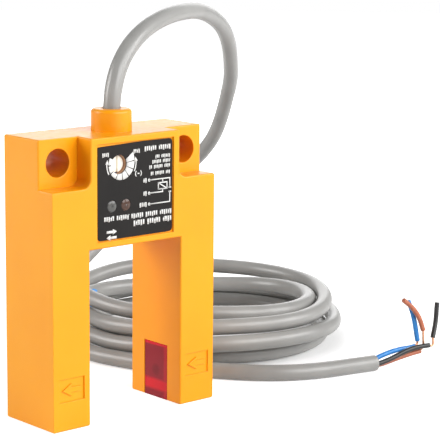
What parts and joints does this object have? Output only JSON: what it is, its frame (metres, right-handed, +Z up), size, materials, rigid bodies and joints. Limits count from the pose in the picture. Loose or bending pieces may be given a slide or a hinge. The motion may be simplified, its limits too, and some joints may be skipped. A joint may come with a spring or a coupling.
{
  "type": "fork sensor",
  "caption": "U-shaped photoelectric fork sensor with bolt ears, red beam windows in the leg ends, a sensitivity trimmer, indicator lamps and a coiled grey lead with stripped cores.",
  "frame": {"origin": "middle of the footprint of the housing, at the level of the leg ends", "axes": "+Z up from the leg ends to the cable boss, -Y towards the label side, +X to the right seen from the label side"},
  "size_m": [0.148, 0.125, 0.1043],
  "materials": {
    "housing_yellow": "smooth moulded ABS, satin gloss",
    "label_film": "dark printed film",
    "red_window": "clear red acrylic",
    "trimmer_blue": "moulded trimmer body",
    "rotor_white": "cream nylon",
    "lamp_clear": "cast clear resin",
    "lamp_brown": "cast tinted resin",
    "board_green": "green solder mask",
    "chip_black": "moulded epoxy",
    "bright_steel": "plated steel",
    "diode_blue": "cast blue resin",
    "wire_red": "PVC insulation",
    "wire_yellow": "PVC insulation",
    "jacket_grey": "satin PVC jacket",
    "tie_blue": "PVC covered wire",
    "core_blue": "PVC insulation",
    "core_black": "PVC insulation",
    "core_brown": "PVC insulation",
    "bare_copper": "bare stranded copper"
  },
  "bodies": {
    "sensor": {"housing": "housing_yellow", "rear_cover": "housing_yellow", "label_plate": "label_film", "emitter_window": "red_window", "receiver_window": "red_window", "trimmer_body": "trimmer_blue", "power_led": "lamp_clear", "output_led": "lamp_brown", "main_board": "board_green", "board_screws": "bright_steel", "control_ic": "chip_black", "output_transistor": "chip_black", "protection_diode": "chip_black", "filter_capacitor": "chip_black", "chip_resistors": "chip_black", "emitter_board": "board_green", "emitter_diode": "diode_blue", "emitter_wires": "wire_red", "receiver_board": "board_green", "receiver_diode": "chip_black", "receiver_wires": "wire_yellow", "cable_ferrule": "bright_steel", "inner_core_blue": "core_blue", "inner_core_black": "core_black", "inner_core_brown": "core_brown", "cable_riser": "jacket_grey", "cable_coil": "jacket_grey", "cable_tail": "jacket_grey", "coil_tie": "tie_blue", "core_blue": "core_blue", "core_black": "core_black", "core_brown": "core_brown", "copper_blue": "bare_copper", "copper_black": "bare_copper", "copper_brown": "bare_copper", "slug_blue": "core_blue", "slug_black": "core_black", "slug_brown": "core_brown"},
    "trimmer": {"trimmer_rotor": "rotor_white"}
  },
  "joints": [
    {"name": "sensitivity_turn", "type": "hinge", "parent": "sensor", "child": "trimmer", "pos_m": [-0.0054, -0.0085, 0.0667], "axis": [0, -1, 0], "range_deg": [-135, 135]}
  ]
}
